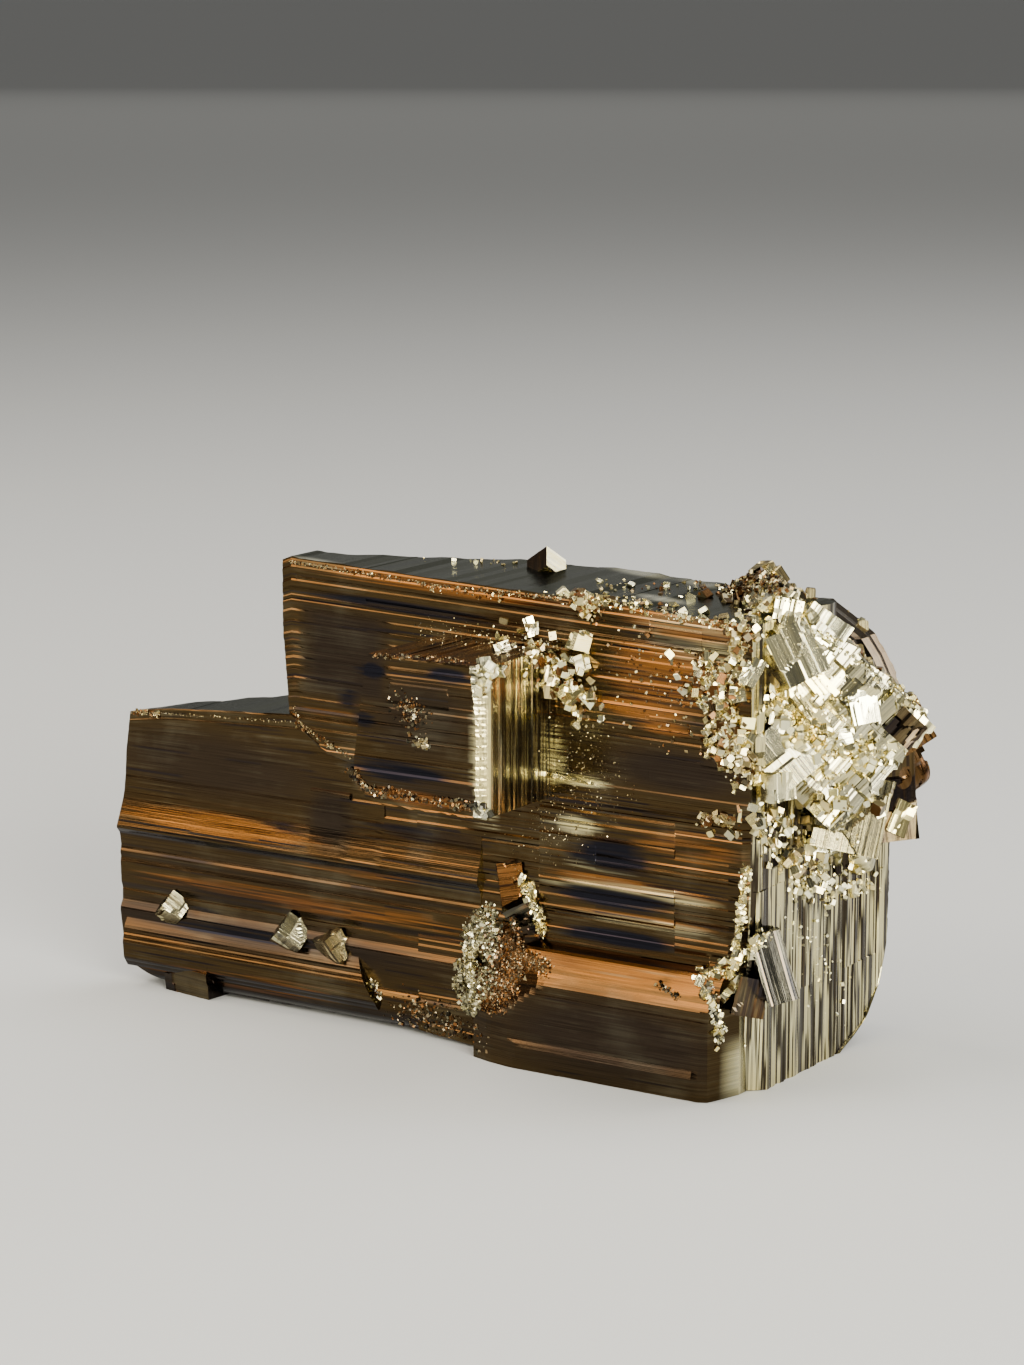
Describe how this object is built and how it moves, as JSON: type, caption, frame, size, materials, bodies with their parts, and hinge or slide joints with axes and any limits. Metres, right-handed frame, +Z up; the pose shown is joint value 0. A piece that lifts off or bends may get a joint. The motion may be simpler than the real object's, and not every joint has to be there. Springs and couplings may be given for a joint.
{
  "type": "pyrite cluster",
  "caption": "Natural cluster of intergrown brassy square crystals with striated faces, a tilted crystal and crumbs capping one end, resting on its flat foot.",
  "frame": {"origin": "under the middle of the cluster, on the surface that it rests on", "axes": "+X along the long front face, towards the capped end; +Y away from the front; +Z up"},
  "size_m": [0.0921, 0.0449, 0.0523],
  "materials": {
    "pyrite": "striated metallic faces, tarnished bronze brown in front and bright pale brass on the right"
  },
  "bodies": {
    "root": {"pyrite_cluster": "pyrite"}
  },
  "joints": []
}
